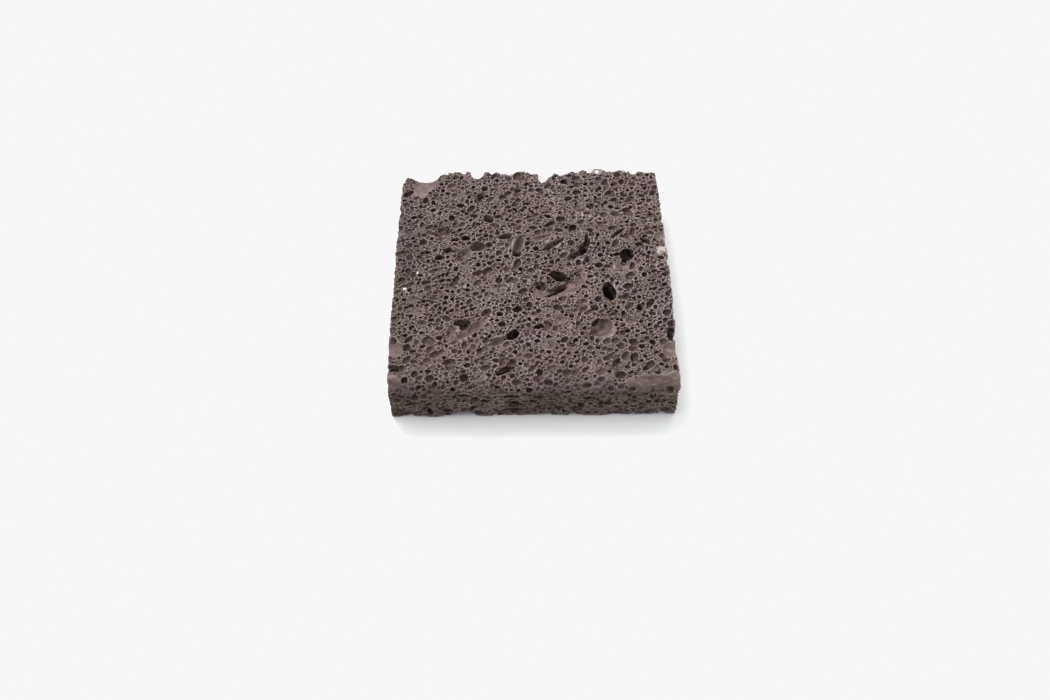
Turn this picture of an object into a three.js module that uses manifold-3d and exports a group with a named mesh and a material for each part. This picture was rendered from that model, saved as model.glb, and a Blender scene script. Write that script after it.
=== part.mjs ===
// A sawn square slab of scoria, a vesicular lava stone full of gas bubbles, with three pale
// mineral grains set in its top face. Millimetres, +Z up. The front edge faces -Y.
import * as THREE from 'three';
import { mergeVertices } from 'three/addons/utils/BufferGeometryUtils.js';
import Module from 'manifold-3d';

// Driving dimensions
const WIDTH = 100;            // left to right, between the two sawn sides
const THICKNESS = 18;         // between the sawn top and the underside
const FRONT = -50;            // the front face's place along Y
const BACK_REACH = 53;        // just past the furthest bump of the broken back edge
const FRONT_ARRIS = 6;        // worn round of the top front edge
const SMALL_ARRIS = 0.9;      // worn round of every other long edge
const GRAIN_GAP = 0.3;        // clearance between a mineral grain and its pocket
const ROUND_STEPS = 5;        // flats in each worn round
const OUTLINE_STEPS = 2;      // chords between two points of a bowed side
const BIG_BUBBLE = 3;         // mean opening radius from which a bubble gets the finer sphere

const SIDE = WIDTH / 2;
const TOP = THICKNESS;

const wasm = await Module();
wasm.setup();

// ---- solids ---------------------------------------------------------------------------------

function solidOf(geometry) {
  const plain = geometry.clone();
  plain.deleteAttribute('normal');
  plain.deleteAttribute('uv');
  const merged = mergeVertices(plain, 1e-4);
  return new wasm.Manifold(new wasm.Mesh({
    numProp: 3,
    vertProperties: new Float32Array(merged.attributes.position.array),
    triVerts: new Uint32Array(merged.index.array),
  }));
}

function geometryOf(solid) {
  const mesh = solid.getMesh();
  const geometry = new THREE.BufferGeometry();
  geometry.setAttribute('position', new THREE.BufferAttribute(mesh.vertProperties, 3));
  geometry.setIndex(new THREE.BufferAttribute(mesh.triVerts, 1));
  geometry.computeVertexNormals();
  return geometry;
}

// ---- the sawn blank -------------------------------------------------------------------------

// Seen from above. The two sides and the front are sawn and only slightly bowed. The back edge
// is broken through its bubbles, so it is a run of small bumps and gaps.
function planOutline() {
  const outline = new THREE.Shape();
  outline.moveTo(-SIDE + 0.3, FRONT);
  outline.lineTo(SIDE - 0.4, FRONT);
  outline.splineThru([
    [SIDE - 0.3, -42], [SIDE - 1.0, -36], [SIDE - 0.8, -31], [SIDE, -24],
    [SIDE + 0.5, -6], [SIDE + 0.3, 10], [SIDE, 30], [SIDE - 0.4, 47], [SIDE - 1.2, 50.5],
  ].map(([x, y]) => new THREE.Vector2(x, y)));
  const backBumps = [
    [45, 50.6], [43, 51.2], [40.2, 50.3], [39, 51.6], [38, 51], [35.5, 52.1], [33, 51.4],
    [30, 51], [28.4, 52.4], [25, 52.4], [24.1, 50.9], [22.8, 50.8], [22, 51.9], [20.8, 52.2],
    [18, 50.6], [16.4, 51.5], [15, 50.3], [13, 51.1], [9.2, 50.9], [8.2, 49.4], [7, 47.4],
    [5.4, 45.4], [4.2, 45.7], [3.2, 47.6], [3.9, 49.2], [3.1, 50.4], [1.2, 50.5],
    [-2.5, 51.6], [-5, 51.2], [-8, 50.1], [-11.3, 50.3], [-12.3, 51.6], [-13.5, 51.7],
    [-14.7, 50.6], [-16.6, 51.6], [-17.8, 51.2], [-18.4, 50], [-22.6, 50], [-23.3, 52.2],
    [-30, 51.6], [-33, 50.5], [-35.2, 49.3], [-36.7, 48], [-38, 47.4], [-43, 47.4], [-45.2, 48],
    [-47.6, 48.8], [-49.3, 47.3],
  ];
  for (const [x, y] of backBumps) outline.lineTo(x, y);
  outline.splineThru([
    [-SIDE + 0.2, 40], [-SIDE - 0.3, 15], [-SIDE, -5], [-SIDE - 0.3, -22], [-SIDE + 0.3, FRONT],
  ].map(([x, y]) => new THREE.Vector2(x, y)));
  return outline;
}

// A rectangle with its four corners rounded by the radii given, from its lower left corner on.
function wornRectangle(left, low, right, high, radii) {
  const [lowLeft, lowRight, highRight, highLeft] = radii;
  const shape = new THREE.Shape();
  shape.moveTo(left + lowLeft, low);
  shape.absarc(right - lowRight, low + lowRight, lowRight, -Math.PI / 2, 0);
  shape.absarc(right - highRight, high - highRight, highRight, 0, Math.PI / 2);
  shape.absarc(left + highLeft, high - highLeft, highLeft, Math.PI / 2, Math.PI);
  shape.absarc(left + lowLeft, low + lowLeft, lowLeft, Math.PI, 1.5 * Math.PI);
  return shape;
}

function extruded(shape, depth, curveSegments) {
  return new THREE.ExtrudeGeometry(shape, { depth, curveSegments, bevelEnabled: false });
}

// The plan cut by the two side views, which carry the worn rounds of the long edges.
function sawnBlank() {
  const plan = extruded(planOutline(), THICKNESS, OUTLINE_STEPS);
  const reach = SIDE + 1;
  const a = SMALL_ARRIS;

  const sideView = wornRectangle(FRONT, 0, BACK_REACH, TOP, [a, a, a, FRONT_ARRIS]);
  const alongX = extruded(sideView, 2 * reach, ROUND_STEPS);
  alongX.rotateX(Math.PI / 2);
  alongX.rotateZ(Math.PI / 2);
  alongX.translate(-reach, 0, 0);

  const frontView = wornRectangle(-SIDE - 0.5, 0, SIDE + 0.5, TOP, [a, a, a, a]);
  const alongY = extruded(frontView, BACK_REACH - FRONT + 2, ROUND_STEPS);
  alongY.rotateX(Math.PI / 2);
  alongY.translate(0, BACK_REACH + 1, 0);

  return solidOf(plan).intersect(solidOf(alongX)).intersect(solidOf(alongY));
}

// ---- gas bubbles ----------------------------------------------------------------------------

// Each face that bubbles open through: where its own right, its own up and its outward
// directions point, and its distance from the origin along the outward one.
const FACES = {
  top: { right: [1, 0, 0], up: [0, 1, 0], out: [0, 0, 1], at: TOP },
  front: { right: [1, 0, 0], up: [0, 0, 1], out: [0, -1, 0], at: -FRONT },
  left: { right: [0, -1, 0], up: [0, 0, 1], out: [-1, 0, 0], at: SIDE },
  right: { right: [0, 1, 0], up: [0, 0, 1], out: [1, 0, 0], at: SIDE },
  back: { right: [-1, 0, 0], up: [0, 0, 1], out: [0, 1, 0], at: 50.6 },
};

// An ellipsoid that opens through a face. long and short are the opening's half sizes, turn is
// the angle of the long one in degrees, and depth is how far the bubble goes in. lift says how
// the bubble was cut: above 0 only its bowl is left, below 0 most of it is, with an overhang.
function bubble(faceName, [u, v, long, short, turn, depth, lift = 0.1]) {
  const face = FACES[faceName];
  const [right, up, out] = [face.right, face.up, face.out].map((d) => new THREE.Vector3(...d));
  const high = depth / (1 - lift);
  const widen = 1 / Math.sqrt(1 - lift * lift);
  const fine = (long + short) / 2 >= BIG_BUBBLE;
  const geometry = new THREE.SphereGeometry(1, fine ? 14 : 10, fine ? 9 : 6);
  geometry.rotateX(Math.PI / 2);
  geometry.scale(long * widen, short * widen, high);
  geometry.rotateZ(THREE.MathUtils.degToRad(turn));
  geometry.translate(u, v, face.at + lift * high);
  geometry.applyMatrix4(new THREE.Matrix4().makeBasis(right, up, out));
  return solidOf(geometry);
}

// A free-standing ellipsoid, for bubbles that break through an edge: its middle, its three
// half sizes and its lean about X.
function roundedVoid([x, y, z], [rx, ry, rz], lean = 0) {
  const geometry = new THREE.SphereGeometry(1, 20, 14);
  geometry.scale(rx, ry, rz);
  geometry.rotateX(THREE.MathUtils.degToRad(lean));
  geometry.translate(x, y, z);
  return solidOf(geometry);
}

// Rows are u, v, long, short, turn, depth and lift, as bubble() takes them.
const TOP_BUBBLES = [
  // the deep black holes
  [9.7, -1.5, 3.9, 2.2, -30, 8, -0.3],
  [27.7, -8.8, 4.2, 2.2, 101, 9, -0.3],
  [35.1, 8.3, 2.8, 2.5, 70, 6, -0.3],
  [-7.2, -27.6, 2.8, 1.8, 42, 6, -0.2],
  [-9.7, -42.2, 4.0, 1.2, 32, 5, -0.2],
  [-5.4, -16.4, 2.1, 1.5, 18, 4, -0.2],
  [-9.6, 17.8, 2.9, 1.5, 12, 3.5, -0.1],
  [-17.6, 42.3, 1.7, 1.6, 0, 4, -0.2],
  [-19.1, 38.3, 1.8, 1.3, 75, 3.5, -0.2],
  [13.3, 45.8, 1.6, 1.4, 0, 3.5, -0.2],
  [-4.8, 41.3, 1.7, 1.4, 20, 3, -0.1],
  [-33.8, 7.7, 2.1, 1.4, 0, 3.5, -0.1],
  [-31, 11.2, 2.1, 1.2, 25, 3, -0.1],
  [42.6, 15.2, 2.1, 1.2, -38, 3.5, -0.1],
  [38.1, -16, 1.7, 1.2, 85, 3.5, -0.2],
  [22.1, -16, 1.6, 1.3, -35, 3, -0.1],
  [47.4, 39.6, 1.9, 1.3, 50, 3, -0.1],
  [-48, -41.2, 2.1, 1.4, 5, 3.5, -0.2],
  [48.1, -27.6, 3.1, 1.3, 86, 6, -0.1],
  // in the wide broken hollow in the middle: the groove under its
  // ridge, a pit at its left and the wall that rises at its right
  [9.0, -7.4, 6.6, 0.9, 31, 4.4, 0],
  [3.5, -5.7, 2.9, 2.0, -20, 3, 0.1],
  [17.2, -2.2, 4.4, 2.3, 76, 2, 0.12],
  // the crescent and the long grooves, drawn out by the flow
  [20.6, 16.3, 3.1, 0.9, 82, 4, -0.1],
  [19.3, 11.8, 3.4, 1.8, 64, 5.5, -0.1],
  [16.6, 8.8, 3.0, 1.5, 14, 5, -0.1],
  [8.2, 13.7, 5.4, 1.3, 36, 2.8, 0.1],
  [32.6, 19.1, 4.0, 0.9, 42, 3, -0.1],
  [6.8, 23.7, 2.7, 0.9, 36, 3, -0.1],
  [-4.7, 13.6, 4.8, 1.8, 77, 2.8, 0.2],
  [-5.4, 9.8, 2.3, 1.8, 80, 4.5, -0.1],
  // smooth-floored hollows
  [-19.8, 13, 3.3, 2.5, 5, 3.6, 0.1],
  [-24.6, 9.2, 5.4, 2.2, 48, 2.2, 0.3],
  [-33.4, 19.4, 3.8, 3.2, 60, 2.1, 0.3],
  [-16, 26.6, 2.5, 2.0, -50, 4, 0],
  [-12.3, 27.6, 1.9, 1.1, 15, 2.4, 0.1],
  [-25.0, -22.0, 3.2, 1.5, 8, 4.5, 0.1],
  [-23.9, -23.3, 2.6, 1.4, 48, 5, 0],
  [-21.6, -25.2, 8.4, 1.8, 38, 1.8, 0.4],
  [-28.6, -25.6, 3.6, 1.8, 75, 1.7, 0.4],
  [-12, -30.2, 5, 1.5, 25, 1.8, 0.4],
  [24.1, -24.9, 4.7, 3.2, 42, 3.3, 0.1],
  [34.3, -21.9, 2.2, 1.9, 0, 1.3, 0.4],
  [5.4, -23, 1.8, 1.5, -20, 1.7, 0.2],
  [13.2, -32, 1.8, 1.6, 0, 1.7, 0.2],
  [32, 28.5, 2.1, 1.6, 0, 1.8, 0.2],
  [22.8, 32.8, 2.0, 1.5, 15, 2, 0.1],
  [20.8, 6.5, 1.8, 1.5, 20, 2, 0.1],
  [45.5, 27.8, 1.7, 1.5, 0, 1.8, 0.2],
  [47.9, 17, 2.4, 2.1, 80, 0.9, 0.5],
  [-47.8, -33.4, 3.6, 3.2, 0, 0.9, 0.6],
  [38.5, -48.6, 9, 3.6, 2, 1.6, 0.5],
  [46.9, -35, 3.6, 2.6, 85, 1.1, 0.5],
];

const FRONT_BUBBLES = [
  [-5.5, 7.4, 3.0, 1.5, 0, 3.5, 0],
  [-6.6, 2.9, 1.7, 1.1, 10, 2.5, 0],
  [16.2, 6.2, 2.2, 1.3, 70, 3, 0],
  [21.6, 2, 1.7, 1.0, 5, 2.5, 0],
  [-42.6, 8, 3.1, 1.1, 12, 2.5, 0],
  [2.3, 11.2, 1.8, 1.1, 10, 2.5, 0],
  [-37, 5, 2.4, 1.7, 0, 1.6, 0.3],
  [35.6, 13, 4.4, 2.2, 0, 1.5, 0.4],
  [41.2, 2.5, 1.8, 1.0, 0, 2, 0],
  [27.4, 8, 1.6, 1.2, 30, 1.6, 0.1],
];

const LEFT_BUBBLES = [
  [-31, 10.5, 2.6, 1.6, 10, 3, 0],
  [-6, 6, 3.4, 2.2, -8, 2.2, 0.2],
  [14, 12, 1.9, 1.3, 20, 2.5, 0],
  [28, 5.4, 2.8, 1.5, 5, 2.6, 0],
];

const RIGHT_BUBBLES = [
  [-12, 7, 2.7, 1.8, 12, 2.8, 0],
  [7, 4.6, 1.9, 1.2, -10, 2.4, 0],
  [21, 11.4, 3.1, 1.7, 8, 2.2, 0.2],
  [38, 6.4, 2.1, 1.5, 0, 2.6, 0],
];

const BACK_BUBBLES = [
  [-38, 8, 3.4, 2.3, 8, 2.8, 0.1],
  [-24, 5, 1.9, 1.3, 0, 2.4, 0],
  [-14, 10.4, 2.2, 1.5, 25, 2.4, 0],
  [9, 4.4, 2.9, 1.7, -6, 2.6, 0.1],
  [31, 7.4, 2.4, 1.6, 12, 2.8, 0],
];

// The wide hollow in the middle, a shallow bowl that bends round an island of stone.
function middleHollow() {
  const bowl = bubble('top', [9, -5.5, 11, 5.8, 20, 2.6, 0.35]);
  const island = bubble('top', [8.2, -2.4, 6.6, 4.4, 35, 9, 0]);
  return bowl.subtract(island);
}

// Bubbles that broke out through an edge of the slab.
function edgeVoids() {
  return [
    roundedVoid([-40.8, 50, 30], [11.8, 19.6, 14.2]),             // broad scoop, back left
    roundedVoid([-20.6, 52.4, 16.6], [2.5, 4.8, 5]),              // gap in the back edge
    roundedVoid([3.6, 47.6, 15], [1.5, 2.6, 2.2]),                // undercut in the back's deep gap
    roundedVoid([26.4, 52.3, 15.6], [0.85, 4.6, 0.85], -55.3),    // small hole under a thin loop
    roundedVoid([51, -32, 17], [1.4, 1.3, 3]),                    // notch, right side
    roundedVoid([51.2, 5.6, 17.6], [1.3, 1.1, 2]),                // nick, right side
    roundedVoid([-24.6, -51.6, -0.8], [5.6, 4.4, 4]),             // chip, underside at the front
    roundedVoid([-17.7, -50.6, 15.4], [1.7, 1.9, 2]),             // pit in the worn front edge
    roundedVoid([51.5, -48.5, 3], [2.2, 5, 5.5]),                 // chipped right front corner
  ];
}

// ---- mineral grains -------------------------------------------------------------------------

// An angular grain: a small ball of flat facets, squashed, with every other corner drawn in.
// grow widens it on all sides, which is how its pocket is cut.
function grainGeometry({ at, half, turn, detail }, grow = 0) {
  const geometry = new THREE.IcosahedronGeometry(1, detail);
  const points = geometry.attributes.position;
  const corner = new THREE.Vector3();
  for (let i = 0; i < points.count; i += 1) {
    corner.fromBufferAttribute(points, i);
    const uneven = 1 - 0.1 * (1 + Math.sin(5 * corner.x + 3 * corner.y) * Math.cos(4 * corner.z));
    corner.multiplyScalar(uneven);
    points.setXYZ(i, corner.x, corner.y, corner.z);
  }
  geometry.scale(...half.map((h) => h + grow / 0.8));
  geometry.rotateZ(THREE.MathUtils.degToRad(turn));
  geometry.translate(...at);
  return geometry;
}

const GRAINS = {
  cream_mineral_inclusion: { at: [47.5, 9.9, 16.3], half: [2.6, 2.1, 1.8], turn: 12, detail: 1 },
  white_grain_left: { at: [-45.8, -6.8, 17.4], half: [1.0, 0.6, 0.7], turn: 62, detail: 0 },
  white_grain_small: { at: [-41.6, 0.4, 17.5], half: [0.55, 0.45, 0.55], turn: 20, detail: 0 },
};

// ---- the slab -------------------------------------------------------------------------------

function slabGeometry() {
  const voids = [
    ...TOP_BUBBLES.map((row) => bubble('top', row)),
    ...FRONT_BUBBLES.map((row) => bubble('front', row)),
    ...LEFT_BUBBLES.map((row) => bubble('left', row)),
    ...RIGHT_BUBBLES.map((row) => bubble('right', row)),
    ...BACK_BUBBLES.map((row) => bubble('back', row)),
    middleHollow(),
    ...edgeVoids(),
    ...Object.values(GRAINS).map((grain) => solidOf(grainGeometry(grain, GRAIN_GAP))),
  ];
  return geometryOf(voids.reduce((stone, hollow) => stone.subtract(hollow), sawnBlank()));
}

const STONE = { color: 0x635654, roughness: 0.95, metalness: 0 };
const CREAM = { color: 0xb9b2a8, roughness: 0.7, metalness: 0 };
const WHITE = { color: 0xe4dcd8, roughness: 0.55, metalness: 0 };
const GRAIN_LOOKS = {
  cream_mineral_inclusion: CREAM,
  white_grain_left: WHITE,
  white_grain_small: WHITE,
};

function named(name, geometry, look) {
  const mesh = new THREE.Mesh(geometry, new THREE.MeshStandardMaterial(look));
  mesh.name = name;
  return mesh;
}

const group = new THREE.Group();
const slab = named('scoria_slab', slabGeometry(), STONE);
group.add(slab);
for (const [name, grain] of Object.entries(GRAINS)) {
  group.add(named(name, grainGeometry(grain), GRAIN_LOOKS[name]));
}

// The origin is the middle of the slab's box, on the surface that it lies on.
const box = new THREE.Box3().setFromObject(slab);
group.position.set(-(box.min.x + box.max.x) / 2, -(box.min.y + box.max.y) / 2, -box.min.z);

export default group;
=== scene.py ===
"""A sawn slab of scoria, a lava stone full of gas bubbles, with pale mineral grains in its top.

The slab's solid is read from the CAD frame into a grid of distances, its fine bubbles are cut
into that grid, and the surface of what is left is the stone. Lengths are in millimetres until
a mesh is made, and in metres in Blender.
"""

import math

import bpy
import numpy as np
import openvdb as vdb
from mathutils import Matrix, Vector


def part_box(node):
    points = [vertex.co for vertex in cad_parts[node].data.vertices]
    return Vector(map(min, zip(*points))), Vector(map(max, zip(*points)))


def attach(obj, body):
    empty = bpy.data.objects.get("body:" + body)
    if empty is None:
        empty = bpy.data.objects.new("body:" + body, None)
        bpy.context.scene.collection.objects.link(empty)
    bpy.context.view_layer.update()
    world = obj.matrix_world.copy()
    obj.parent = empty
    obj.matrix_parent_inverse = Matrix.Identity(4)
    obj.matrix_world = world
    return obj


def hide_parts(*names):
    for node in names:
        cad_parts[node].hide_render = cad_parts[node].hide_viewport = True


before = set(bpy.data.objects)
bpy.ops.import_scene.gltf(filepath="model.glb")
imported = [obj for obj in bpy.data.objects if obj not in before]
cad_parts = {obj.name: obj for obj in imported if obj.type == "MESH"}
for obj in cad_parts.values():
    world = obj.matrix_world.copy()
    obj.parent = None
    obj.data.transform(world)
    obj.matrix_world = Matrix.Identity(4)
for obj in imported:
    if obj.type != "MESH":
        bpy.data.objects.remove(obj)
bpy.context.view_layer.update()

MM = 0.001
VOXEL = 0.21                # grid pitch
BAND = 10                   # how many voxels each side of the surface hold a distance
SEED = 20

# The slab's box, and the point that places on its top and front are measured from: the middle
# of its width, 50 mm behind its front face.
low, high = [np.array(corner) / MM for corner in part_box("scoria_slab")]
TOP = high[2]
FRONT = low[1]
BACK = high[1]
MIDDLE_X = (low[0] + high[0]) / 2
DATUM_Y = FRONT + 50
SIDE_BOW = 0.45             # how far the sawn sides stand inside the box at most
BACK_BUMPS = 1.6            # how far most of the broken back edge stands inside the box
FRONT_ARRIS = 6             # worn round of the top front edge
LOOP = np.array([MIDDLE_X + 26.4, DATUM_Y + 51.2, TOP - 1])   # a thin loop of stone at the back
LOOP_REACH = 3.6            # how far around it the stone isn't roughened
LOOP_WHOLE = 0.7 * LOOP_REACH   # how far around it there are no bubbles


# ---- the grid -------------------------------------------------------------------------------

def points_and_triangles(node):
    """The CAD node's surface in millimetres, with its points joined up."""
    mesh = node.data
    mesh.calc_loop_triangles()
    points = np.empty(len(mesh.vertices) * 3, np.float32)
    mesh.vertices.foreach_get("co", points)
    corners = np.empty(len(mesh.loop_triangles) * 3, np.int32)
    mesh.loop_triangles.foreach_get("vertices", corners)
    points = points.reshape(-1, 3) / np.float32(MM)
    welded, place = np.unique(np.round(points, 3), axis=0, return_inverse=True)
    return welded, place.reshape(-1)[corners].reshape(-1, 3)


def level_set_of(points, faces):
    """A closed surface of triangles or quads as a grid of distances, below 0 inside."""
    kind = "triangles" if faces.shape[1] == 3 else "quads"
    return vdb.FloatGrid.createLevelSetFromPolygons(
        points.astype(np.float32), **{kind: faces.astype(np.uint32)},
        transform=vdb.createLinearTransform(voxelSize=VOXEL), halfWidth=float(BAND))


def surface_of(distance, first, pitch):
    """The points and quads of the surface where a grid of distances is 0."""
    level_set = vdb.FloatGrid(background=BAND * pitch)
    level_set.copyFromArray(distance, ijk=tuple(int(i) for i in first))
    level_set.transform = vdb.createLinearTransform(voxelSize=pitch)
    return level_set.convertToQuads(isovalue=0.0)


class Grid:
    """The stone on a regular grid.

    distance is to the stone's surface, below 0 inside it. room is to the nearest bubble that
    has been cut, below 0 in it. tone is a number for each bubble, from 0 for the darkest to 1,
    and -1 in the CAD solid's wide hollows and away from all bubbles.
    """

    def __init__(self, node):
        level_set = level_set_of(*points_and_triangles(node))
        first, last = level_set.evalActiveVoxelBoundingBox()
        self.first = np.array(first)
        self.distance = np.zeros([b - a + 1 for a, b in zip(first, last)], np.float32)
        level_set.copyToArray(self.distance, ijk=first)
        self.tone = np.full(self.distance.shape, -1, np.float32)
        self.warp = None
        self.room = self.distance_to_hollows()

    def axes(self):
        """The millimetre coordinate of each grid plane, along X, Y and Z."""
        return [((self.first[i] + np.arange(n)) * VOXEL).astype(np.float32)
                for i, n in enumerate(self.distance.shape)]

    def distance_to_hollows(self):
        """The distance to the CAD solid's bubbles, other than those low down at the back.

        They are found as the places some way into the slab's plain shape that hold no stone.
        """
        inset = 0.22
        below_top, from_back = 6, 8
        x, y, z = self.axes()
        depth = hull_depth(x[:, None, None], y[None, :, None], z[None, None, :])
        inner = np.maximum(inset - self.distance, inset - depth)
        under_back = np.minimum((TOP - below_top - z)[None, None, :],
                                (y - BACK + from_back)[None, :, None])
        inner = np.maximum(inner, under_back).astype(np.float32)
        level_set = level_set_of(*surface_of(inner, self.first, VOXEL))
        room = np.zeros(self.distance.shape, np.float32)
        level_set.copyToArray(room, ijk=tuple(int(i) for i in self.first))
        return room - np.float32(inset)

    def index(self, points):
        """The nearest voxel of each point."""
        near = np.rint(points / VOXEL).astype(int) - self.first
        return tuple(np.clip(near, 0, np.array(self.distance.shape) - 1).T)

    def block(self, lowest, highest):
        """The part of the grid in a box, and its coordinates, or None where they don't meet."""
        start = np.maximum(np.floor(lowest / VOXEL).astype(int) - self.first, 0)
        stop = np.ceil(highest / VOXEL).astype(int) - self.first + 1
        stop = np.minimum(stop, self.distance.shape)
        if np.any(stop <= start):
            return None, None
        part = tuple(slice(a, b) for a, b in zip(start, stop))
        x, y, z = [((self.first[i] + np.arange(start[i], stop[i])) * VOXEL).astype(np.float32)
                   for i in range(3)]
        return part, (x[:, None, None], y[None, :, None], z[None, None, :])

    def cut(self, centre, radii, turn, tone):
        """Cuts out a bent ellipsoid, turned about Z by turn radians."""
        margin = 1
        reach = np.array([max(radii[0], radii[1])] * 2 + [radii[2]]) + margin
        part, places = self.block(centre - reach, centre + reach)
        if part is None:
            return
        x, y, z = [axis - middle + bend[part]
                   for axis, middle, bend in zip(places, centre, self.warp)]
        cos, sin = math.cos(turn), math.sin(turn)
        along = (x * cos + y * sin) / radii[0]
        across = (y * cos - x * sin) / radii[1]
        up = z / radii[2]
        size = np.sqrt(along ** 2 + across ** 2 + up ** 2)
        slope = np.sqrt((along / radii[0]) ** 2 + (across / radii[1]) ** 2 + (up / radii[2]) ** 2)
        away = (size * (size - 1) / np.maximum(slope, 1e-4)).astype(np.float32)
        away[size < 0.1] = -min(radii)
        self.room[part] = np.minimum(self.room[part], away)
        deeper = -away > self.distance[part]
        self.distance[part][deeper] = -away[deeper]
        self.tone[part][deeper & (away < VOXEL)] = tone


def spread_matrix(count, cell):
    """Weights that smoothly spread a coarse row of lattice values over count samples."""
    places = np.arange(count) / cell
    left = np.floor(places).astype(int)
    part = places - left
    part = part * part * (3 - 2 * part)
    weights = np.zeros((count, left[-1] + 2), np.float32)
    weights[np.arange(count), left] = 1 - part
    weights[np.arange(count), left + 1] = part
    return weights


def lattice_noise(shape, size, rng):
    """Smooth noise from -1 to 1 on the grid, with bumps of size millimetres."""
    x, y, z = [spread_matrix(count, size / VOXEL) for count in shape]
    lattice = rng.uniform(-1, 1, (x.shape[1], y.shape[1], z.shape[1])).astype(np.float32)
    lattice = np.tensordot(lattice, z, (2, 1))
    lattice = np.tensordot(x, lattice, (1, 0))
    return np.matmul(y[None, :, :], lattice)


def softened(values, passes, step=1):
    """A blur over three voxels, step apart, along each axis, done passes times."""
    for _ in range(passes):
        for axis in range(3):
            before = np.roll(values, step, axis)
            after = np.roll(values, -step, axis)
            values = (before + values + after) / np.float32(3)
    return values


def smooth_step(values, start, stop):
    part = np.clip((values - start) / (stop - start), 0, 1)
    return part * part * (3 - 2 * part)


# ---- bubbles --------------------------------------------------------------------------------

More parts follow.
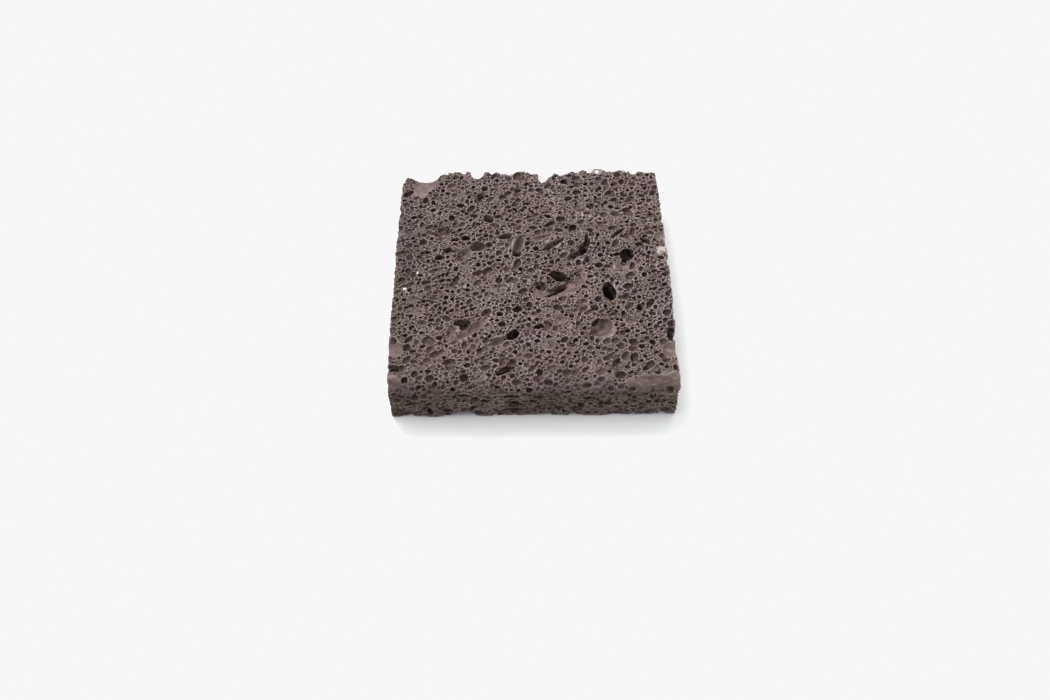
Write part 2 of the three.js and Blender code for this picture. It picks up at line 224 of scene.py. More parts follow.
# Bubbles of the top that are plain to see. Most are too small for the CAD solid, and the last
# dozen are cut again where its larger ones are, so that their walls are clean. Place right of
# the middle, place behind the datum, half length, half width, turn in degrees, and depth.
TOP_PORES = [
    (-31.8, 39.8, 1.1, 1.0, 0, 2.2), (-40.2, 36.2, 1.6, 1.2, 70, 2.0), (-30.6, 43.9, 2.0, 1.2, 35, 1.2),
    (-29.4, 39, 1.6, 1.4, 0, 0.9), (-27, 48, 1.1, 0.8, 40, 1.5), (-8.5, 39.6, 1.7, 1.2, 25, 1.5),
    (-13.2, 44, 1.5, 1.2, 0, 0.9), (-4.9, 36.2, 1.3, 1.1, 0, 1.3), (-21.4, 28, 1.6, 0.9, -20, 2),
    (-41.8, 27.7, 1.0, 0.8, 0, 2), (-42, 33.2, 1.0, 0.9, 0, 1.6), (-32.2, 30.3, 0.8, 0.7, 0, 1.6),
    (-28.5, 16.2, 1.9, 0.9, 10, 2.2), (-37.2, 16.8, 0.9, 0.8, 0, 1.6), (-38.3, 10.3, 1.4, 0.9, -15, 2),
    (-19.6, 4.2, 1.0, 1.2, 0, 2), (-17, 18.2, 1.1, 0.8, 60, 2), (-9.2, 8, 1.1, 0.9, 0, 1.8),
    (-35, 1.6, 3.0, 1.1, 15, 1.3), (-27.6, 2.2, 1.3, 0.9, 70, 1.5), (1.5, 11.6, 1.3, 1.1, 20, 2),
    (-1.5, 12, 1.0, 0.9, 0, 1.6), (3, 41.3, 1.3, 1.0, 10, 2), (18.2, 43.8, 1.7, 1.5, 0, 1.0),
    (27.2, 42, 1.2, 0.8, 100, 2), (14.5, 36.5, 2.0, 1.2, 25, 1.7), (33.2, 31.4, 1.4, 0.9, 15, 2),
    (30.7, 32.1, 1.2, 1.0, 0, 1.8), (36.4, 30.6, 1.9, 1.1, 25, 1.6), (41.9, 33.9, 1.4, 0.7, 35, 2),
    (27.6, 28, 1.8, 1.3, 0, 1.0), (47.3, 25.4, 1.0, 1.0, 0, 1.4), (6.4, 27.7, 1.6, 1.0, -32, 2),
    (-19.6, 24, 1.0, 0.8, 0, 1.8), (28.3, 14.1, 1.1, 1.0, 0, 2), (27, 11.7, 0.9, 0.8, 0, 1.8),
    (25.4, 8.2, 1.2, 1.0, 0, 2), (29.4, 8.2, 0.9, 0.9, 0, 2), (24.9, 18.1, 1.2, 0.8, 80, 2),
    (24.9, 13.5, 1.1, 0.7, 70, 2), (17.2, 4.7, 1.5, 1.2, 80, 1.5), (22.3, 20.4, 1.3, 1.1, 0, 1.4),
    (3.6, 16.9, 3.2, 1.1, 20, 0.9), (33.2, 2, 3.2, 2.5, 0, 0.8), (32.6, 1.2, 0.6, 0.5, 0, 2),
    (34, 17.4, 1.3, 1.0, 0, 1.6), (47.6, 6.7, 1.4, 0.8, 0, 1.8), (23.5, -12.3, 1.6, 1.5, 30, 1.6),
    (30.4, -16, 0.9, 0.7, 80, 2), (32, -18.2, 1.0, 0.7, 100, 1.8), (10.5, -17.5, 1.0, 0.7, 90, 2),
    (2.2, -17.2, 1.1, 1.0, 0, 1.4), (9.8, -21.2, 2.3, 1.3, 0, 1.0), (16.6, -13.8, 1.4, 1.1, 0, 0.9),
    (28.5, -8, 1.0, 0.9, 0, 1), (40.8, -1.2, 1.3, 1.1, 70, 1.8), (42.2, -18.8, 1.4, 1.1, 0, 1.3),
    (33.1, -26.2, 1.1, 1.0, 0, 2.2), (38.6, -27.3, 1.5, 0.8, 5, 1.6), (37.5, -33, 1.2, 1.1, 0, 2.2),
    (41.3, -31.2, 1.3, 1.2, 0, 2.2), (22.4, -33.3, 0.9, 0.9, 0, 1.8), (28.6, -30.6, 1.9, 1.3, 10, 1.0),
    (5.2, -32, 2.7, 2.0, -20, 0.8), (45.3, -38.7, 1.6, 1.1, 0, 1.2), (48.3, -41.8, 1.3, 0.9, 90, 1.8),
    (38.3, -42, 1.6, 0.8, 35, 1.8), (42.1, -43.9, 1.3, 0.7, 0, 1.3), (31.8, -41.5, 1.1, 0.9, 0, 1.6),
    (23, -43.5, 2.4, 1.4, 20, 1.0), (17.5, -46.2, 0.9, 0.7, 0, 1.4), (12.6, -41, 0.8, 0.8, 0, 1.6),
    (6.3, -42, 2.2, 1.4, 25, 0.8), (2.2, -46, 1.2, 0.9, 20, 1.2), (-11.6, -18.4, 1.2, 1.2, 0, 2.2),
    (-17.3, -18.7, 1.2, 1.0, 0, 1.6), (-10.9, -22.9, 1.5, 1.2, 10, 2.2), (-20.4, -27.3, 1.4, 1.0, 85, 2),
    (-32.7, -28.7, 1.2, 1.0, 15, 2), (-15.2, -28, 0.8, 0.7, 0, 1.8), (-22.6, -34.7, 1.0, 0.7, 110, 2),
    (-42, -34, 1.5, 0.9, -10, 1.6), (-36.6, -38, 1.4, 1.2, 0, 1.0), (-41.2, -38.5, 1.2, 0.9, 0, 1.2),
    (-23, -37.6, 0.9, 0.9, 0, 1.4), (-19.6, -38.5, 1.1, 0.9, 0, 1.2), (-13, -38.4, 1.4, 0.9, -10, 1.6),
    (-10.7, -36.4, 1.2, 1.1, 0, 1.0), (-2, -36.6, 1.9, 1.3, 0, 0.9), (-1.8, -31.6, 1.1, 1.0, 0, 1.6),
    (-36, -42.4, 1.0, 0.9, 0, 1.8), (-24, -42.6, 1.1, 0.8, 20, 1.4), (-33, -45.7, 0.9, 0.7, 0, 1.2),
    (-4.7, -39.9, 0.8, 0.8, 0, 2), (-18, -47.4, 1.9, 0.7, 5, 1.3), (-36.4, -49.2, 1.8, 1.1, 85, 1.8),
    (-43, -49, 1.6, 1.1, 0, 1.6), (-44.2, -7, 1.2, 0.9, 80, 2.2), (-30.2, -3.1, 1.1, 0.9, 10, 1.6),
    (-28.6, -8.5, 0.9, 0.8, 0, 1.4), (-47.2, -2.6, 1.6, 1.1, 20, 1.4), (-40.7, -16.9, 2.4, 2.0, 0, 0.7),
    (-43, -11.5, 2.2, 1.8, 10, 0.6), (-39, -22, 1.9, 1.2, 0, 1.0), (4.2, -0.2, 0.9, 0.8, 0, 1.8),
    (5.8, -2.4, 0.7, 0.8, 0, 1.6), (48.6, -10, 1.4, 1.0, 60, 1.4), (37, -9, 1.3, 1.0, 20, 1.2),
    (-20.3, -9.4, 1.4, 0.9, 0, 1.3), (-22.7, -13, 1.5, 1.0, 60, 1.0), (-46, 20.3, 1.8, 1.4, 0, 1.0),
    (35.1, 8.3, 2.9, 2.6, 70, 6), (27.7, -8.8, 4.2, 2.3, 101, 8), (9.7, -1.5, 3.9, 2.2, -30, 8),
    (-7.2, -27.6, 2.9, 1.9, 42, 6), (20.7, 14.4, 2.7, 1.3, 78, 3), (48.1, -27.7, 3.1, 1.65, 86, 6),
    (23.4, -24.2, 4.0, 2.4, 42, 3.4), (17.2, -2.2, 4.4, 2.3, 76, 2.0), (-9.7, -42.2, 3.9, 1.2, 32, 5),
    (-48.2, -41.2, 2.3, 1.3, 5, 4), (19.3, 11.4, 3.2, 1.5, 60, 5), (21.9, -22.4, 2.2, 0.8, 44, 2.8),
]

# Gaps broken through the back edge, which stay sharp: place right of the middle, place behind
# the datum, half width, half length and half height.
EDGE_GAPS = [(-20.9, 51.6, 2.3, 3.9, 6), (4.7, 49.6, 1.4, 4.4, 6.5), (6.9, 51.0, 2.4, 2.8, 6)]

# The bubbles that fill what is left, in the order that they are cut: least and most mean radius,
# tries for each square centimetre, and what share of them the front of the top takes.
SWARM = [
    (1.05, 1.7, 4, 1.0),
    (0.72, 1.05, 60, 0.4),
    (0.5, 0.74, 330, 0.32),
    (0.34, 0.52, 1800, 0.4),
    (0.27, 0.36, 4500, 0.4),
    (0.21, 0.28, 6000, 0.3),
]
CUPS_PER_SQUARE_CM = 5
SQUARE_CM = 2 * (100 * 100 + 2 * 100 * TOP) / 100   # of the whole slab's surface
FLOW_TURN = math.radians(35)      # the way that the melt drew the bubbles out, seen from above
WIDE_PORE = 2.3                   # half length from which a bubble is plainly deep or shallow
FINEST_FRONT = 0.45               # radius below which the front face is less full of bubbles
FRONT_STRETCH, FRONT_SQUASH, FRONT_INWARD = 1.3, 0.75, 1.25   # shape of the front's bubbles

# Smooth places, which are bare walls of wide hollows and of bubbles that the sawn edges cut
# open: place right of the middle, place behind the datum and radius.
SMOOTH_PLACES = [
    (-41, 44.5, 4.6), (-42.5, 40.5, 3.2), (-47.8, -33.3, 3.6), (-48.2, -47, 3.4), (48.2, -35.6, 2.8),
    (48, 17.2, 2.4), (33, -47.8, 2.6), (38, -47.4, 3.4), (43, -47, 3.8), (48, -47, 3.6),
    (17.2, -2.4, 2.8), (13.5, -8, 2.2), (9, -10.4, 2), (2.6, -7.6, 2.8), (24.4, -25.4, 4.8),
    (-25, -23.6, 3.6), (-20.4, -24.6, 2.6), (-19.8, 13, 3), (-4.7, 13.6, 3), (8.2, 13.7, 2.6),
    (34.3, -21.9, 1.8), (-12, -30.2, 2.6), (-33.4, 19.4, 2.2),
]


def hull_depth(x, y, z):
    """How deep a place is below the nearest of the slab's faces, as if it had no bubbles."""
    depth = np.minimum(np.minimum(TOP - z, z), y - FRONT)
    depth = np.minimum(depth, BACK - BACK_BUMPS - y)
    depth = np.minimum(depth, np.minimum(x - low[0], high[0] - x) - SIDE_BOW)
    behind, below = FRONT + FRONT_ARRIS - y, z - (TOP - FRONT_ARRIS)
    rounded = FRONT_ARRIS - np.hypot(behind, below)
    return np.where((behind > 0) & (below > 0), np.minimum(depth, rounded), depth)


def keep_whole(grid, centre, radius):
    """Keeps fine bubbles out of a ball."""
    part, (x, y, z) = grid.block(centre - radius, centre + radius)
    away = np.sqrt((x - centre[0]) ** 2 + (y - centre[1]) ** 2 + (z - centre[2]) ** 2)
    grid.room[part] = np.where(away < radius, 0, grid.room[part])


def cut_top_pores(grid, rng):
    lift = 0.12                   # a bubble's middle is above the top by this share of its height
    for right, back, long, short, turn, depth in TOP_PORES:
        tall = depth / (1 - lift)
        widen = 1 / math.sqrt(1 - lift * lift)
        centre = np.array([MIDDLE_X + right, DATUM_Y + back, TOP + lift * tall])
        radii = np.array([long * widen, short * widen, tall])
        tone = rng.uniform(0.1, 0.9)
        # deep wide bubbles take tone 0, which the material paints nearly black as painted shade, and
        # shallow ones take the paler colour of the wide hollows
        if long >= WIDE_PORE:
            tone = 0 if depth > 1.5 * short else -1
        grid.cut(centre, radii, math.radians(turn), tone)
    for right, back, *radii in EDGE_GAPS:
        grid.cut(np.array([MIDDLE_X + right, DATUM_Y + back, TOP - 1]), radii, 0, -1)


def surface_places(grid, count, deepest, rng):
    """Random places within deepest of the present surface, with their distance to it."""
    near = np.flatnonzero(np.abs(grid.distance) < deepest)
    chosen = near[rng.integers(0, len(near), count)]
    voxels = np.stack(np.unravel_index(chosen, grid.distance.shape), 1)
    points = (voxels + grid.first + rng.uniform(-0.5, 0.5, voxels.shape)) * VOXEL
    return points, grid.distance.ravel()[chosen]


def cut_cups(grid, rng):
    """Shallow dishes, which are bubbles whose upper part the saw took away."""
    count = int(CUPS_PER_SQUARE_CM * SQUARE_CM)
    points, distance = surface_places(grid, count, 0.3, rng)
    depth = hull_depth(*points.T)
    plain = (np.abs(depth + distance) < 0.5) & (grid.room[grid.index(points)] > 0.4)
    radius = rng.uniform(0.8, 1.8, count)
    outward = np.zeros((count, 3))
    outward[:, 2] = np.where(points[:, 2] > TOP / 2, 1, -1)
    for axis, (near, far) in enumerate(((low[0] + 1.5, high[0] - 1.5), (FRONT + 1.5, BACK - 4))):
        side = (points[:, axis] < near) | (points[:, axis] > far)
        outward[side] = 0
        outward[side, axis] = np.where(points[side, axis] > 0, 1, -1)
    raised = rng.uniform(0, 0.45, count) * radius
    turns = rng.normal(FLOW_TURN, 0.5, count)
    for i in np.flatnonzero(plain):
        centre = points[i] + outward[i] * raised[i]
        stretch = rng.uniform(1, 1.4)
        radii = np.array([radius[i] * stretch, radius[i] / stretch, radius[i]])
        grid.cut(centre, radii, turns[i], rng.uniform(0, 1))


def cut_swarm(grid, rng):
    """Fills the faces with bubbles, the larger ones first, each as large as its place allows."""
    shape = grid.distance.shape
    fineness = lattice_noise(shape, 9, rng)
    for least, most, per_square_cm, front_share in SWARM:
        count = int(per_square_cm * SQUARE_CM)
        points, distance = surface_places(grid, count, 0.55 * most, rng)
        share = front_share + (1 - front_share) * smooth_step(points[:, 1] - DATUM_Y, -55, -5)
        fine = fineness[grid.index(points)]
        share = share * np.clip(0.7 + 1.1 * fine, 0.1, 1)
        on_front = (points[:, 1] < FRONT + 1.5) & (points[:, 2] < TOP - 0.6 * FRONT_ARRIS)
        share[on_front] = 0.95 if least > FINEST_FRONT else 0.7
        wanted = rng.uniform(0, 1, count) < share
        target = rng.uniform(least, most, count) * np.clip(1 - 0.12 * fine, 0.8, 1.2)
        wall = rng.uniform(-0.1, 0.14, count)
        stretch = rng.uniform(1.0, 1.28, count)
        squash = rng.uniform(0.7, 1.45, count)
        turn = rng.normal(FLOW_TURN, 0.6, count)
        stretch[on_front] *= FRONT_STRETCH
        squash[on_front] *= FRONT_SQUASH
        turn[on_front] = 0
        tone = rng.uniform(0, 1, count)
        # the thin top of the back edge takes only fine bubbles, and the foot of the front and
        # of the back takes none
        crest = (points[:, 1] > BACK - 3.5) & (points[:, 2] > TOP - 4)
        foot = (points[:, 2] < 1.5) & (np.abs(points[:, 1]) > BACK - 3)
        wanted &= (~crest | (least < 0.5)) & ~foot
        places = np.stack(grid.index(points), 1)
        wanted &= (distance < 0.3 * target) & (grid.room[tuple(places.T)] - wall >= least)
        for i in np.flatnonzero(wanted):
            a, b, c = places[i]
            radius = min(target[i], grid.room[a, b, c] - wall[i])
            if radius < least:
                continue
            inward = FRONT_INWARD if on_front[i] else 1 / stretch[i]
            radii = radius * np.array([stretch[i], inward, squash[i]])
            grid.cut(points[i], radii, turn[i], tone[i])


# ---- the stone ------------------------------------------------------------------------------

def roughen(grid, rng):
    """Wears the arrises, makes the faces uneven and breaks up the back."""
    shape = grid.distance.shape
    x, y, z = grid.axes()
    uneven = 0.24 * lattice_noise(shape, 3.6, rng) + 0.15 * lattice_noise(shape, 1.3, rng)

    # the back is rough, above all below its top, and the front is gently uneven
    at_back = smooth_step(y, BACK - 7, BACK - 3)[None, :, None]
    under_top = (1 - smooth_step(z, TOP - 10, TOP - 5))[None, None, :]
    uneven += at_back * (0.1 + 0.7 * under_top) * lattice_noise(shape, 3.2, rng)
    in_front = (1 - smooth_step(y, FRONT + 3, FRONT + 8))[None, :, None]
    uneven += in_front * 0.55 * lattice_noise(shape, 4.5, rng)
    # the hollows of the CAD solid's back are mostly evened out below its top
    stone = softened(grid.distance, 2)
    sides = (np.abs(x - MIDDLE_X) - (high[0] - MIDDLE_X - SIDE_BOW))[:, None, None]
    back_plane = np.maximum(sides, (y - (BACK - BACK_BUMPS - 0.4))[None, :, None])
    stone += 0.8 * at_back * under_top * (np.clip(back_plane, -2, 2) - np.clip(stone, -2, 2))
    planes = np.maximum(z - TOP, -z)[None, None, :]
    stone = np.maximum(stone + uneven, planes)

    # the loop keeps its shape
    part, (x, y, z) = grid.block(LOOP - LOOP_REACH, LOOP + LOOP_REACH)
    away = np.sqrt((x - LOOP[0]) ** 2 + (y - LOOP[1]) ** 2 + (z - LOOP[2]) ** 2)
    rough = smooth_step(away, 0.6 * LOOP_REACH, LOOP_REACH)
    stone[part] = rough * stone[part] + (1 - rough) * grid.distance[part]

    # the front arris is worn round
    part, places = grid.block(np.array([low[0], FRONT, TOP - FRONT_ARRIS]),
                              np.array([high[0], FRONT + FRONT_ARRIS, TOP]))
    worn = uneven[part] - hull_depth(*places)
    stone[part] = np.maximum(stone[part], np.where(worn > -FRONT_ARRIS / 2, worn, stone[part]))
    grid.distance = stone


def largest_piece(points, quads):
    """Drops every sealed bubble and loose crumb, and keeps the one connected surface."""
    label = np.arange(len(points))
    while True:
        lowest = label[quads].min(1)
        new = label.copy()
        for corner in range(4):
            np.minimum.at(new, quads[:, corner], lowest)
        new = new[new]
        if np.array_equal(new, label):
            break
        label = new
    names, sizes = np.unique(label, return_counts=True)
    kept = label == names[sizes.argmax()]
    renumber = np.cumsum(kept) - 1
    return points[kept], renumber[quads[kept[quads[:, 0]]]]


def add_attribute(mesh, name, values):
    layer = mesh.attributes.new(name, "FLOAT", "POINT")
    layer.data.foreach_set("value", np.ascontiguousarray(values, np.float32))


def mesh_from(name, points, quads):
    mesh = bpy.data.meshes.new(name)
    mesh.vertices.add(len(points))
    mesh.vertices.foreach_set("co", (points * MM).astype(np.float32).ravel())
    mesh.loops.add(4 * len(quads))
    mesh.loops.foreach_set("vertex_index", quads.astype(np.int32).ravel())
    mesh.polygons.add(len(quads))
    mesh.polygons.foreach_set("loop_start", np.arange(0, 4 * len(quads), 4, dtype=np.int32))
    mesh.update(calc_edges=True)
    mesh.validate()
    mesh.shade_smooth()
    return mesh


def make_stone(clusters):
    rng = np.random.default_rng(SEED)
    grid = Grid(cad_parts["scoria_slab"])
    shape = grid.distance.shape
    grid.warp = [0.22 * lattice_noise(shape, 1.5, rng) for _ in range(3)]
    roughen(grid, rng)
    for cluster in clusters:
        cluster.bed_in(grid)
    keep_whole(grid, LOOP, LOOP_WHOLE)
    for right, back, radius in SMOOTH_PLACES:
        keep_whole(grid, np.array([MIDDLE_X + right, DATUM_Y + back, TOP]), radius)
    cut_top_pores(grid, rng)
    cut_cups(grid, rng)
    cut_swarm(grid, rng)
    grid.distance += 0.05 * lattice_noise(shape, 0.6, rng)
    height = grid.axes()[2]
    grid.distance = np.maximum(grid.distance, np.maximum(height - TOP, -height)[None, None, :])
    points, quads = surface_of(grid.distance, grid.first, VOXEL)
    points, quads = largest_piece(points, quads)
    mesh = mesh_from("stone", points, quads)

    place = grid.index(points)
    filled = softened((grid.distance < 0).astype(np.float32), 3)
    around = softened(filled, 3, step=3)
    add_attribute(mesh, "depth", hull_depth(*points.T))
    add_attribute(mesh, "tone", grid.tone[place])
    add_attribute(mesh, "filled", filled[place])
    add_attribute(mesh, "around", around[place])
    stone = bpy.data.objects.new("stone_body", mesh)
    bpy.context.scene.collection.objects.link(stone)
    return stone


# ---- materials ------------------------------------------------------------------------------

def linear(red, green, blue):
    """A linear colour from screen values of 0 to 255."""
    def one(value):
        value /= 255
        return value / 12.92 if value <= 0.04045 else ((value + 0.055) / 1.055) ** 2.4
    return (one(red), one(green), one(blue), 1)


class Nodes:
    """Short ways to add shader nodes to a material."""

    def __init__(self, name):
        self.material = bpy.data.materials.new(name)
        self.material.use_nodes = True
        self.tree = self.material.node_tree
        self.tree.nodes.clear()
        self.place = self.tree.nodes.new("ShaderNodeTexCoord").outputs["Object"]

    def add(self, kind, inputs=None, **settings):
        node = self.tree.nodes.new(kind)
        for key, value in settings.items():
            setattr(node, key, value)
        for key, value in (inputs or {}).items():
            if isinstance(value, bpy.types.NodeSocket):
                self.tree.links.new(value, node.inputs[key])
            else:
                node.inputs[key].default_value = value
        return node

    def attribute(self, name):
        return self.add("ShaderNodeAttribute", attribute_name=name).outputs["Fac"]

    def noise(self, size_mm, detail=3.0, rough=0.55):
        """Noise whose lumps are about size_mm across."""
        inputs = {"Vector": self.place, "Scale": 1 / (size_mm * MM),
                  "Detail": detail, "Roughness": rough}
        return self.add("ShaderNodeTexNoise", inputs).outputs["Fac"]

    def cells(self, size_mm, feature="F1"):
        """The distance to the middle of the nearest cell, or as feature says."""
        inputs = {"Vector": self.place, "Scale": 1 / (size_mm * MM)}
        return self.add("ShaderNodeTexVoronoi", inputs, feature=feature).outputs["Distance"]

    def ramp(self, value, start, stop, low=0.0, high=1.0):
        """Maps value from start..stop smoothly to low..high."""
        inputs = {"Value": value, "From Min": start, "From Max": stop, "To Min": low, "To Max": high}
        node = self.add("ShaderNodeMapRange", inputs, interpolation_type="SMOOTHSTEP")
        return node.outputs["Result"]

    def across(self, axis, start_mm, stop_mm, low, high):
        """A ramp over one of the place's coordinates."""
        place = self.add("ShaderNodeSeparateXYZ", {"Vector": self.place}).outputs[axis]
        return self.ramp(place, start_mm * MM, stop_mm * MM, low, high)

    def math(self, operation, *values):
        node = self.add("ShaderNodeMath", dict(enumerate(values)), operation=operation)
        return node.outputs[0]

    def times(self, *values):
        product = values[0]
        for value in values[1:]:
            product = self.math("MULTIPLY", product, value)
        return product

    def mix(self, share, under, over):
        """Lays share of one colour over another. A colour is a socket or screen values."""
        under, over = [linear(*colour) if isinstance(colour, tuple) else colour
                       for colour in (under, over)]
        node = self.add("ShaderNodeMix", {0: share, 6: under, 7: over}, data_type="RGBA")
        return node.outputs[2]

    def bump(self, height, distance_mm, strength, normal=None):
        inputs = {"Height": height, "Distance": distance_mm * MM, "Strength": strength}
        if normal is not None:
            inputs["Normal"] = normal
        return self.add("ShaderNodeBump", inputs).outputs["Normal"]

    def finish(self, **inputs):
        shader = self.add("ShaderNodeBsdfPrincipled", inputs)
        output = self.add("ShaderNodeOutputMaterial")
        self.tree.links.new(shader.outputs[0], output.inputs["Surface"])
        return self.material


def stone_material():
    """Scoria, coloured by how each place lies in it, with painted shade in its recesses and deep holes
    and, in part, a painted highlight on its thin rims.

    The mesh holds depth, which is millimetres below the slab's plain faces, tone, which the
    grid describes, and the share of stone close by (filled) and within about 2 mm (around).
    """
    n = Nodes("scoria")
    depth, tone, filled, around = [n.attribute(name)
                                   for name in ("depth", "tone", "filled", "around")]
    grain = n.noise(0.5, 4, 0.65)
    low_front = n.times(n.across("Y", FRONT + 2, FRONT + 5, 1, 0), n.across("Z", 9, 16, 1, 0))

    # bubble skins run from dark maroon brown to purplish grey, and are paler in wide hollows
    # and towards the front
    skin = n.mix(n.ramp(tone, 0.1, 0.9), (35, 20, 18), (70, 48, 45))
    skin = n.mix(n.ramp(n.noise(2.2, 2), 0.48, 0.6, 0, 0.65), skin, (62, 34, 30))
    hollow = n.mix(n.ramp(n.noise(3.5, 3), 0.35, 0.65), (74, 56, 53), (107, 86, 81))
    skin = n.mix(n.across("Y", FRONT, FRONT + 38, 0.4, 0), skin, hollow)
    skin = n.mix(n.ramp(tone, -0.7, -0.1, 1, 0), skin, hollow)

    # what is left of the sawn faces is a little paler
    face = n.mix(n.ramp(grain, 0.35, 0.65), (66, 53, 50), (93, 77, 74))
    face = n.mix(n.ramp(n.noise(5, 3), 0.45, 0.62, 0, 0.5), face, (88, 79, 80))
    face = n.mix(n.ramp(n.noise(11, 3), 0.5, 0.66, 0, 0.5), face, (99, 78, 67))
    near_face = n.ramp(n.math("ADD", depth, n.times(grain, 0.5)), 0.3, 0.9, 1, 0)
    colour = n.mix(near_face, skin, face)

    # the rims between bubbles are palest, partly from wear and partly as a painted highlight where thin
    # walls catch the light, in patches, and less so towards the front
    rim = n.mix(n.ramp(grain, 0.3, 0.7), (121, 107, 103), (180, 165, 160))
    rim = n.mix(n.ramp(n.noise(17, 3), 0.45, 0.7, 0, 0.6), rim, (124, 106, 98))
    patch = n.ramp(n.noise(6, 3, 0.6), 0.36, 0.62, 0.35, 1)
    worn = n.ramp(n.noise(0.8, 2), 0.35, 0.6, 0.4, 1)
    bared = n.math("MAXIMUM", n.across("Y", FRONT, FRONT + 32, 0.52, 1), n.times(low_front, 0.9))
    # pale is partly wear and partly a painted highlight on thin rims
    pale = n.times(n.ramp(filled, 0.31, 0.48, 1, 0), patch, worn, bared)
    colour = n.mix(pale, colour, rim)

    # rosy patches, a darker left side, a greenish brown low on the front, and greenish stains
    colour = n.mix(n.ramp(n.noise(7, 3, 0.6), 0.58, 0.7, 0, 0.45), colour, (104, 80, 79))
    colour = n.mix(n.across("X", -52, -22, 0.3, 0), colour, (62, 48, 46))
    colour = n.mix(n.times(low_front, 0.35), colour, (96, 88, 70))
    colour = n.mix(n.ramp(n.noise(6, 4, 0.6), 0.57, 0.7, 0, 0.35), colour, (96, 84, 62))

    # painted shade: shut-in places and the bubbles low on the front face are darkened as shade falls in
    # them. Deep narrow places, deep holes and the bubbles of tone 0 are painted nearly black as their
    # shade; tone 0 marks the deep wide holes and a few other bubbles at random.
    recess_shade = n.math("ADD", n.ramp(around, 0.48, 0.72, 0, 0.65), n.times(low_front, 0.5))
    colour = n.mix(n.times(recess_shade, n.ramp(depth, 0.1, 0.6)), colour, (33, 20, 18))
    # painted shade: deep narrow places and deep holes go nearly black
    narrow_shade = n.times(n.ramp(around, 0.5, 0.72, 0.12, 1), n.ramp(depth, 1.2, 3.8, 0, 0.88))
    tone_zero_shade = n.times(n.ramp(n.math("ABSOLUTE", tone), 0.01, 0.03, 0.9, 0), n.ramp(depth, 0.3, 1.2))
    deep_shade = n.math("MAXIMUM", narrow_shade, n.ramp(depth, 3.4, 5.4, 0, 0.93))
    colour = n.mix(n.math("MAXIMUM", deep_shade, tone_zero_shade), colour, (21, 19, 18))

    # bright specks on the rims, and pits that are too small to be made
    speck = n.ramp(n.cells(0.9), 0.05, 0.14, 0.6, 0)
    colour = n.mix(n.times(speck, pale), colour, (192, 184, 178))
    pit = n.times(n.ramp(n.cells(0.55), 0.14, 0.3, 0.6, 0), n.ramp(depth, 0.6, 1.4, 1, 0.3))
    colour = n.mix(pit, colour, (52, 38, 35))

    rough = n.ramp(pale, 0.1, 0.9, 0.62, 0.95)
    fine = n.bump(n.noise(0.22, 3), 0.08, 0.5)
    normal = n.bump(n.ramp(n.cells(0.55), 0.1, 0.32), 0.14, 0.6, fine)
    return n.finish(**{"Base Color": colour, "Roughness": rough, "Normal": normal,
                       "Specular IOR Level": 0.35})


def grain_material(name, pale, dull):
    n = Nodes(name)
    facet = n.noise(0.5, 3, 0.6)
    veins = n.ramp(n.cells(0.8, "DISTANCE_TO_EDGE"), 0.0, 0.12, 0.8, 0)
    colour = n.mix(n.ramp(facet, 0.35, 0.65), pale, dull)
    colour = n.mix(veins, colour, (120, 108, 96))
    rough = n.ramp(n.noise(0.4, 2), 0.35, 0.65, 0.35, 0.75)
    normal = n.bump(n.noise(0.3, 4), 0.12, 0.6)
    return n.finish(**{"Base Color": colour, "Roughness": rough, "Normal": normal})


# ---- grains ---------------------------------------------------------------------------------

class Cluster:
    """Angular crystals grown together in the space of one CAD grain."""

    PITCH = 0.07

    def __init__(self, node_name, count, size, seed):
        self.node_name = node_name
        self.low, self.high = [np.array(corner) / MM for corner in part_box(node_name)]
        rng = np.random.default_rng(seed)
        middle, half = (self.low + self.high) / 2, (self.high - self.low) / 2
        self.crystals = []
        for _ in range(count):
            way = rng.normal(size=3)
            centre = middle + half * 0.72 * way / np.linalg.norm(way) * rng.uniform(0.2, 1)
            normals = rng.normal(size=(9, 3))
            normals /= np.linalg.norm(normals, axis=1)[:, None]
            self.crystals.append((centre, normals, size * rng.uniform(0.5, 1.1, 9)))

    def field(self, x, y, z):
        """The distance to the nearest crystal, below 0 inside."""
        nearest = np.full(np.broadcast_shapes(x.shape, y.shape, z.shape), 9, np.float32)
        for (cx, cy, cz), normals, reach in self.crystals:
            planes = [(x - cx) * a + (y - cy) * b + (z - cz) * c - r
                      for (a, b, c), r in zip(normals, reach)]
            nearest = np.minimum(nearest, np.maximum.reduce(planes))
        box = [np.maximum(low - axis, axis - high)
               for low, axis, high in zip(self.low, (x, y, z), self.high)]
        return np.maximum(nearest, np.maximum(np.maximum(box[0], box[1]), box[2]))

    def bed_in(self, grid):
        """Fills the pocket in the stone up to the crystals, and keeps bubbles off them."""
        part, (x, y, z) = grid.block(self.low - 1.2, self.high + 1.2)
        field = self.field(x, y, z).astype(np.float32)
        stone = np.maximum(0.08 - field, -hull_depth(x, y, z))
        inside = np.minimum(grid.distance[part], stone)
        grid.distance[part] = np.where(field < 0.9, inside, grid.distance[part])
        grid.room[part] = np.minimum(grid.room[part], field)

    def make(self, piece_name, material):
        pitch = self.PITCH
        first = np.floor(self.low / pitch).astype(int) - 3
        last = np.ceil(self.high / pitch).astype(int) + 3
        x, y, z = [np.arange(a, b + 1, dtype=np.float32) * np.float32(pitch)
                   for a, b in zip(first, last)]
        field = self.field(x[:, None, None], y[None, :, None], z[None, None, :])
        points, quads = surface_of(np.ascontiguousarray(field, np.float32), first, pitch)
        points, quads = largest_piece(points, quads)
        mesh = mesh_from(piece_name, points, quads)
        mesh.materials.append(material)
        piece = bpy.data.objects.new(piece_name, mesh)
        bpy.context.scene.collection.objects.link(piece)
        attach(piece, "root")
        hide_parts(self.node_name)


# ---- floor, light and camera ------------------------------------------------------------------

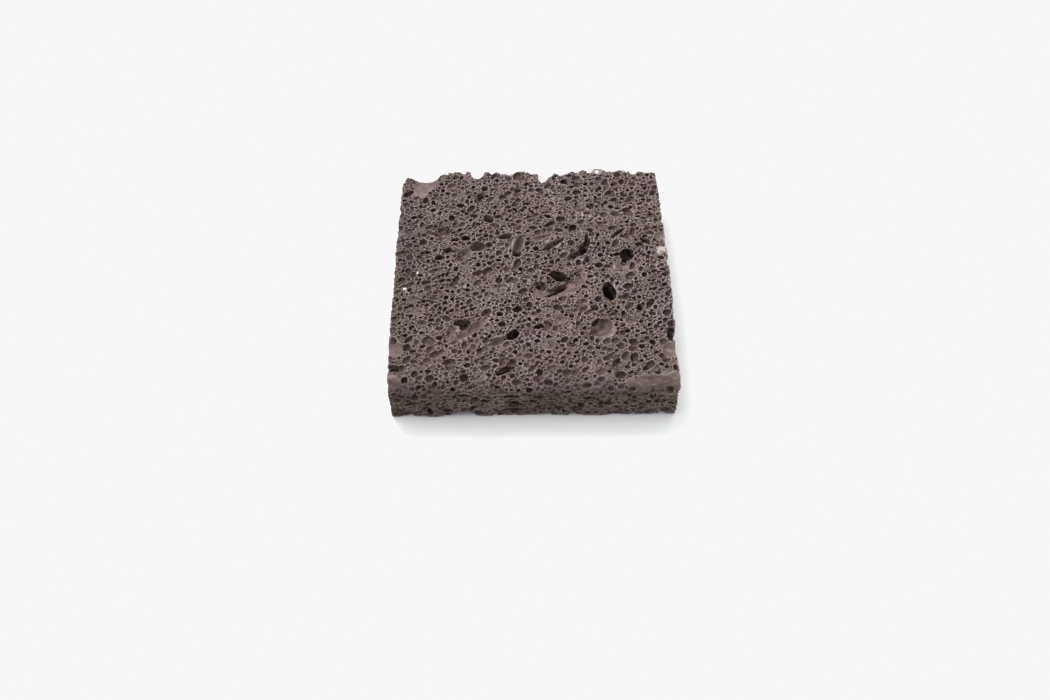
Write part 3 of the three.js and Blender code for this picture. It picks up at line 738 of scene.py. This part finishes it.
def make_floor():
    bpy.ops.mesh.primitive_plane_add(size=6, location=(0, 0, 0))
    floor = bpy.context.object
    floor.name = "floor"
    n = Nodes("floor_white")
    tint = n.mix(n.ramp(n.noise(400, 2), 0.3, 0.7), (233, 236, 235), (238, 241, 240))
    floor.data.materials.append(n.finish(**{"Base Color": tint, "Roughness": 0.7}))


def add_area(name, place, aim, size, power):
    light = bpy.data.lights.new(name, "AREA")
    light.shape = "DISK"
    light.size = size
    light.energy = power
    lamp = bpy.data.objects.new(name, light)
    lamp.location = place
    lamp.rotation_euler = (Vector(aim) - Vector(place)).to_track_quat("-Z", "Y").to_euler()
    bpy.context.scene.collection.objects.link(lamp)


def make_light():
    """A soft dome that is brighter overhead and behind, and one large lamp behind on the left."""
    world = bpy.data.worlds.new("studio")
    world.use_nodes = True
    tree = world.node_tree
    way = tree.nodes.new("ShaderNodeTexCoord")
    facing = tree.nodes.new("ShaderNodeVectorMath")
    facing.operation = "DOT_PRODUCT"
    facing.inputs[1].default_value = (-0.26, 0.47, 0.84)
    level = tree.nodes.new("ShaderNodeMapRange")
    level.interpolation_type = "SMOOTHSTEP"
    level.inputs["From Min"].default_value = 0.1
    level.inputs["To Min"].default_value = 0.32
    level.inputs["To Max"].default_value = 2.3
    tree.links.new(way.outputs["Generated"], facing.inputs[0])
    tree.links.new(facing.outputs["Value"], level.inputs["Value"])
    tree.links.new(level.outputs["Result"], tree.nodes["Background"].inputs["Strength"])
    tree.nodes["Background"].inputs["Color"].default_value = (1, 1, 1, 1)
    bpy.context.scene.world = world
    add_area("key", (-0.33, 0.62, 0.95), (0, 0, 0), 0.4, 7)


def make_camera():
    """A camera 37 cm from the slab and 55 degrees above the table, nearly square to its front."""
    camera = bpy.data.cameras.new("camera")
    camera.sensor_width = 36
    camera.lens = 34.3
    holder = bpy.data.objects.new("camera", camera)
    aim = Vector((-2.83, DATUM_Y - 21.81, 0)) * MM
    azimuth, elevation, distance = math.radians(-0.7), math.radians(55.3), 0.3664
    way = Vector((-math.sin(azimuth) * math.cos(elevation),
                  math.cos(azimuth) * math.cos(elevation), -math.sin(elevation)))
    holder.location = aim - way * distance
    holder.rotation_euler = way.to_track_quat("-Z", "Y").to_euler()
    bpy.context.scene.collection.objects.link(holder)
    bpy.context.scene.camera = holder


def set_exposure():
    """The brightest tones are held just under white, as an overexposed floor looks."""
    view = bpy.context.scene.view_settings
    view.view_transform = "Standard"
    view.use_curve_mapping = True
    view.curve_mapping.extend = "HORIZONTAL"
    curve = view.curve_mapping.curves[3]
    curve.points[0].location = (0, 0)
    curve.points[1].location = (1, 0.93)
    curve.points.new(0.6, 0.6)
    view.curve_mapping.update()


make_camera()
cream_cluster = Cluster("cream_mineral_inclusion", 22, 1.15, 3)
left_cluster = Cluster("white_grain_left", 4, 0.5, 5)
small_cluster = Cluster("white_grain_small", 3, 0.38, 8)
stone = make_stone([cream_cluster, left_cluster, small_cluster])
stone.data.materials.append(stone_material())
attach(stone, "root")
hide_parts("scoria_slab")
cream = grain_material("cream_mineral", (186, 177, 165), (146, 134, 121))
white = grain_material("white_mineral", (244, 236, 232), (216, 204, 198))
cream_cluster.make("cream_inclusion", cream)
left_cluster.make("white_grain", white)
small_cluster.make("small_white_grain", white)
make_floor()
make_light()
set_exposure()
